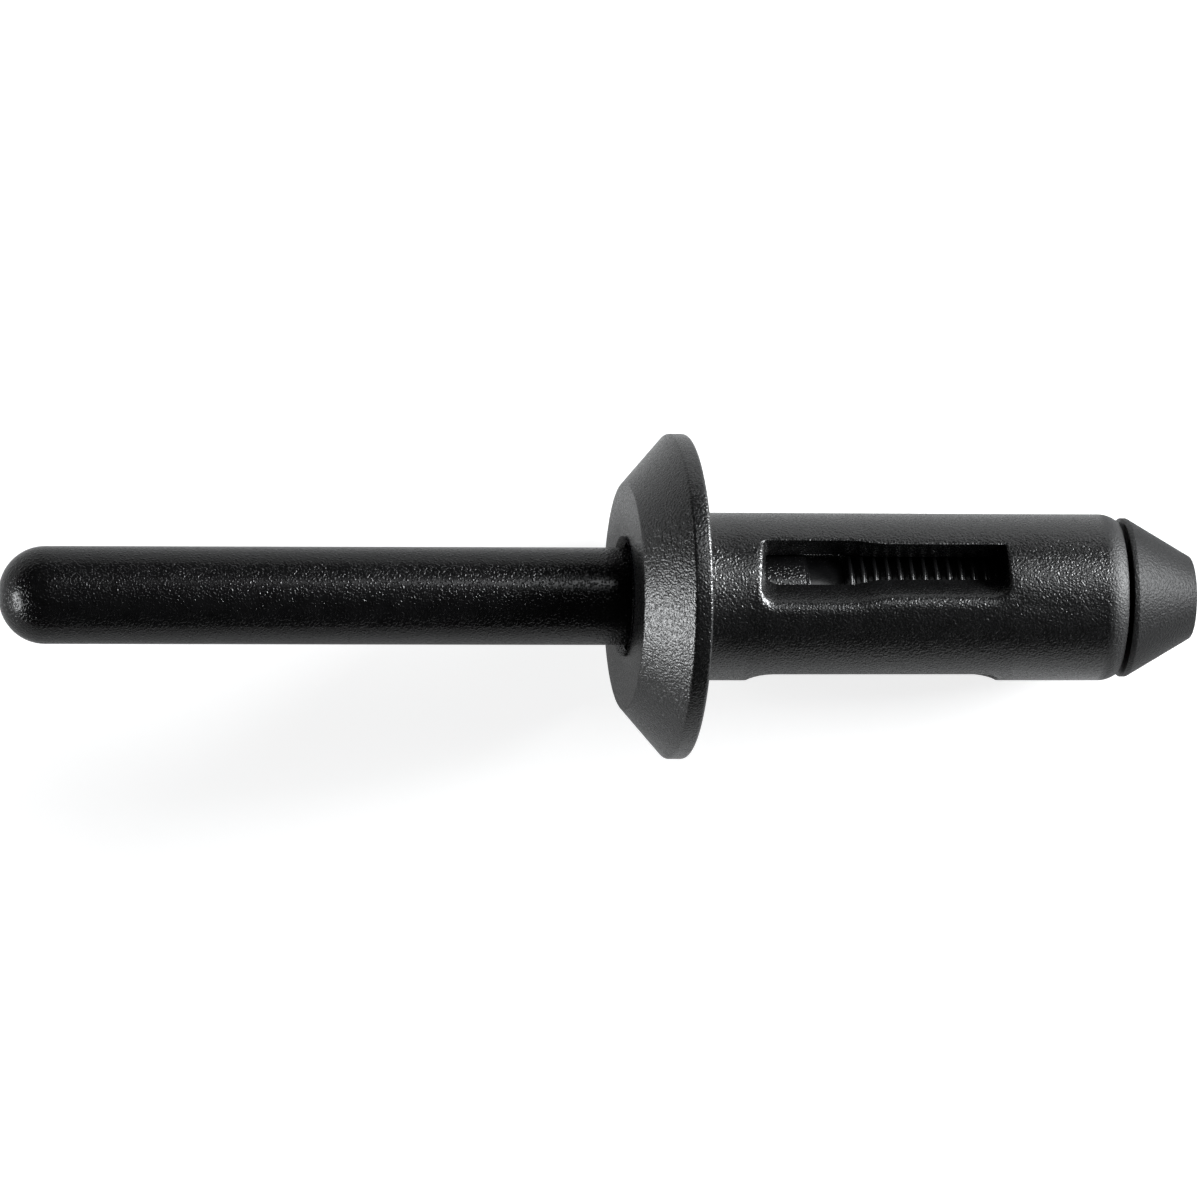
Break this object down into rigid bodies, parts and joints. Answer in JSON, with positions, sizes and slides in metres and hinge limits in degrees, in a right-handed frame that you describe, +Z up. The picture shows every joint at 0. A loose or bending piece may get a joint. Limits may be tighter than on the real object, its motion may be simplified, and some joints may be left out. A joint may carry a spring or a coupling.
{
  "type": "blind rivet",
  "caption": "Plastic blind rivet lying unset: a conical flange and a slotted barrel on a toothed pull mandrel with a break neck and a cone-shaped nose.",
  "frame": {"origin": "centre of the flange's seat, on the rivet's axis", "axes": "+X towards the nose and +Z up from the floor that the loose rivet lies on; the rivet's axis runs from +X down by the rest tilt of 10.40 degrees"},
  "size_m": [0.0471, 0.0128, 0.0128],
  "materials": {
    "body_nylon": "black nylon with a fine spark-eroded grain",
    "mandrel_nylon": "black nylon, a little smoother than the body"
  },
  "bodies": {
    "mandrel": {"mandrel": "mandrel_nylon"},
    "body": {"rivet_body": "body_nylon"}
  },
  "joints": [
    {"name": "body_slide", "type": "slide", "parent": "mandrel", "child": "body", "axis": [-0.9836, 0, 0.1805], "range_m": [-0.00015, 0.0225]}
  ]
}
